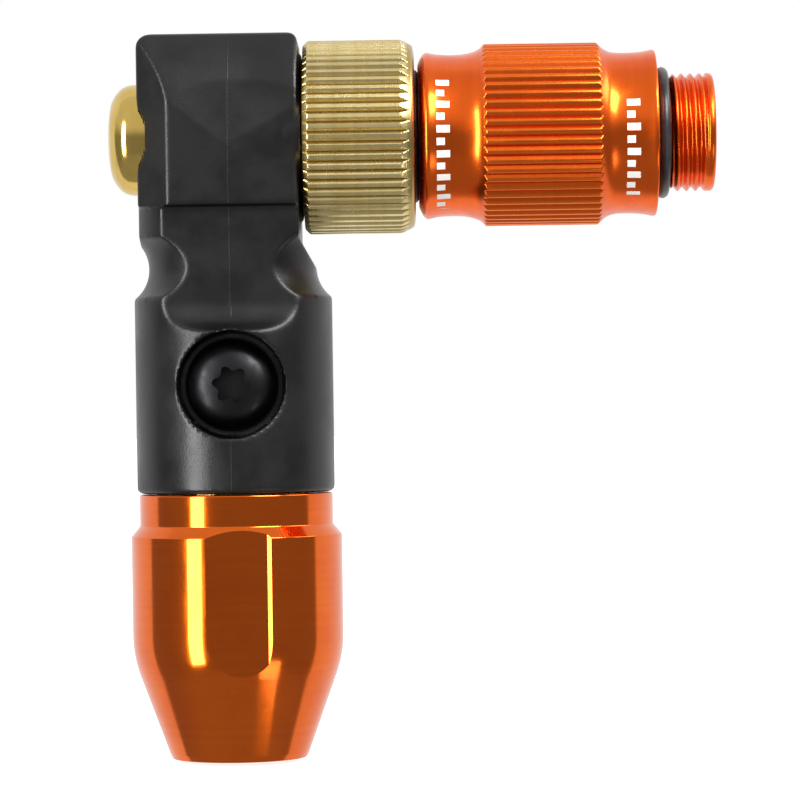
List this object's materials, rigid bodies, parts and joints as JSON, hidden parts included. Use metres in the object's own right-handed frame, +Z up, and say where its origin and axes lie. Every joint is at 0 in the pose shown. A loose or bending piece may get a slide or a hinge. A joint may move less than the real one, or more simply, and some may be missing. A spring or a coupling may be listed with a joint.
{
  "type": "bicycle tyre inflator head",
  "caption": "Elbow-shaped hand-held tyre inflator head: a screw-in gas cartridge cup, a push-button valve and a reversible screw-on chuck for two tyre valve sizes.",
  "frame": {"origin": "the middle of the cartridge cup's mouth, where the gas cartridge goes in", "axes": "+Z up the cartridge's axis, from the cup to the valve block; +X from the thumb button to the chuck; +Y to the back of the block, away from the screw head"},
  "size_m": [0.0503, 0.017, 0.06],
  "materials": {
    "moulding": "fine moulded grain, near-black glass-filled nylon, semi-matte",
    "orange_cup": "turned and polished, anodised amber orange",
    "orange_chuck": "turned and anodised red orange, satin",
    "collar_brass": "pale brass, straight knurled, satin",
    "button_brass": "golden brass, polished",
    "inner_brass": "turned",
    "seal_rubber": "black nitrile",
    "steel": "plain turned steel",
    "screw_black": "black oxide, domed star-socket head",
    "seat_acetal": "natural acetal"
  },
  "bodies": {
    "head": {"body_moulding": "moulding", "body_screw": "screw_black", "core_stem": "inner_brass", "stem_oring_lower": "seal_rubber", "stem_oring_upper": "seal_rubber", "cup_oring": "seal_rubber", "cartridge_cup": "orange_cup", "pierce_pin": "steel", "pierce_seal": "seal_rubber", "valve_barrel": "inner_brass", "barrel_oring_left": "seal_rubber", "barrel_oring_right": "seal_rubber", "button_bush": "inner_brass", "plunger_oring": "seal_rubber", "valve_seat": "seat_acetal", "spring_retainer": "inner_brass", "knurled_collar": "collar_brass"},
    "button": {"thumb_button": "button_brass", "plunger_stem": "steel", "poppet": "inner_brass", "poppet_seal": "seal_rubber", "poppet_circlip": "steel", "return_spring": "steel"},
    "chuck_carriage": {"chuck_inner_oring": "seal_rubber"},
    "chuck": {"twin_chuck": "orange_chuck", "chuck_outer_oring": "seal_rubber", "narrow_valve_seal": "seal_rubber", "wide_valve_seal": "seal_rubber", "valve_core_depressor": "inner_brass"}
  },
  "joints": [
    {"name": "button_press", "type": "slide", "parent": "head", "child": "button", "axis": [1, 0, 0], "range_m": [0, 0.0022], "stiffness_N_per_m": 1500, "springref_m": -0.002, "deforming": ["return_spring"]},
    {"name": "chuck_travel", "type": "slide", "parent": "head", "child": "chuck_carriage", "axis": [1, 0, 0], "range_m": [0, 0.00375]},
    {"name": "chuck_turn", "type": "hinge", "parent": "chuck_carriage", "child": "chuck", "pos_m": [0.0156, 0, 0.0515], "axis": [1, 0, 0], "range_deg": [0, 1800]}
  ],
  "couplings": [
    {"joint": "chuck_travel", "follows": "chuck_turn", "m_per_rad": 0.00011937}
  ]
}
